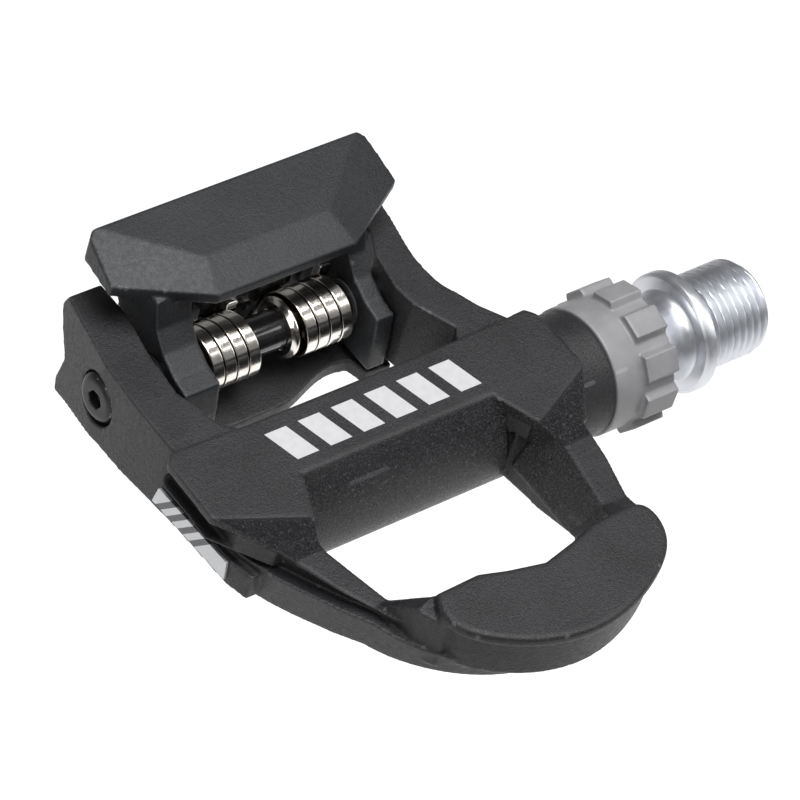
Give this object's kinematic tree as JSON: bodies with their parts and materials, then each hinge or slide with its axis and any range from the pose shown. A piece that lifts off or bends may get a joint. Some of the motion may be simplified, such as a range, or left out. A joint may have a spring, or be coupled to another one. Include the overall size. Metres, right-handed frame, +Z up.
{
  "type": "clipless pedal",
  "caption": "Road clipless pedal: moulded platform with a front claw, sprung rear latch with tension screw, lock sleeve and steel spindle with a crank thread.",
  "frame": {"origin": "spindle axis at the crank face of the spindle's flange", "axes": "+X along the spindle away from the crank, +Y towards the toe, +Z up through the deck"},
  "size_m": [0.1005, 0.0848, 0.0287],
  "materials": {
    "nylon_body": "fine moulded grain with rough recesses",
    "nylon_latch": "matt moulded grain",
    "sleeve_plastic": "smooth satin moulding",
    "bush_plastic": "smooth moulding",
    "seal_rubber": "soft matt",
    "plate_silver": "brushed foil",
    "alloy_tube": "turned",
    "spindle_steel": "turned and satin plated",
    "race_steel": "ground",
    "ball_steel": "polished",
    "spring_nickel": "nickel plated",
    "pin_black": "glossy black oxide",
    "screw_black": "black oxide"
  },
  "bodies": {
    "spindle": {"spindle": "spindle_steel", "inner_race_a": "race_steel", "inner_race_b": "race_steel", "inner_spacer": "race_steel", "lock_washer": "race_steel", "spindle_nut": "race_steel"},
    "platform": {"pedal_body": "nylon_body", "side_plate": "plate_silver", "lock_sleeve": "sleeve_plastic", "lip_seal": "seal_rubber", "inboard_bush": "bush_plastic", "bearing_spacer": "alloy_tube", "race_spacer": "alloy_tube", "outer_race_a": "race_steel", "outer_race_b": "race_steel", "pivot_pin": "pin_black", "pivot_screws": "screw_black", "spring_outboard": "spring_nickel", "spring_inboard": "spring_nickel", "coil_collar": "spring_nickel"},
    "latch": {"latch": "nylon_latch", "latch_bushes": "bush_plastic"},
    "tension_plate": {"tension_plate": "race_steel"},
    "tension_screw": {"tension_screw": "screw_black"},
    "cage_a": {"ball_cage_a": "bush_plastic", "balls_a": "ball_steel"},
    "cage_b": {"ball_cage_b": "bush_plastic", "balls_b": "ball_steel"}
  },
  "joints": [
    {"name": "platform_spin", "type": "hinge", "parent": "spindle", "child": "platform", "pos_m": [0, 0, 0], "axis": [1, 0, 0], "continuous": true},
    {"name": "latch_pivot", "type": "hinge", "parent": "platform", "child": "latch", "pos_m": [0.0568, -0.024, 0.0015], "axis": [1, 0, 0], "range_deg": [0, 15], "stiffness_Nm_per_rad": 8, "springref_deg": -17.19, "deforming": ["spring_outboard", "spring_inboard"]},
    {"name": "plate_slide", "type": "slide", "parent": "latch", "child": "tension_plate", "axis": [0, -1, 0], "range_m": [0, 0.0008]},
    {"name": "screw_turn", "type": "hinge", "parent": "latch", "child": "tension_screw", "pos_m": [0.0568, -0.036, 0.0006], "axis": [0, -1, 0], "range_deg": [0, 411.43]},
    {"name": "cage_a_spin", "type": "hinge", "parent": "spindle", "child": "cage_a", "pos_m": [0.0605, 0, 0], "axis": [1, 0, 0], "continuous": true},
    {"name": "cage_b_spin", "type": "hinge", "parent": "spindle", "child": "cage_b", "pos_m": [0.0661, 0, 0], "axis": [1, 0, 0], "continuous": true}
  ],
  "couplings": [
    {"joint": "cage_a_spin", "follows": "platform_spin", "ratio": 0.6},
    {"joint": "cage_b_spin", "follows": "platform_spin", "ratio": 0.6},
    {"joint": "screw_turn", "follows": "plate_slide", "rad_per_m": 8976}
  ]
}
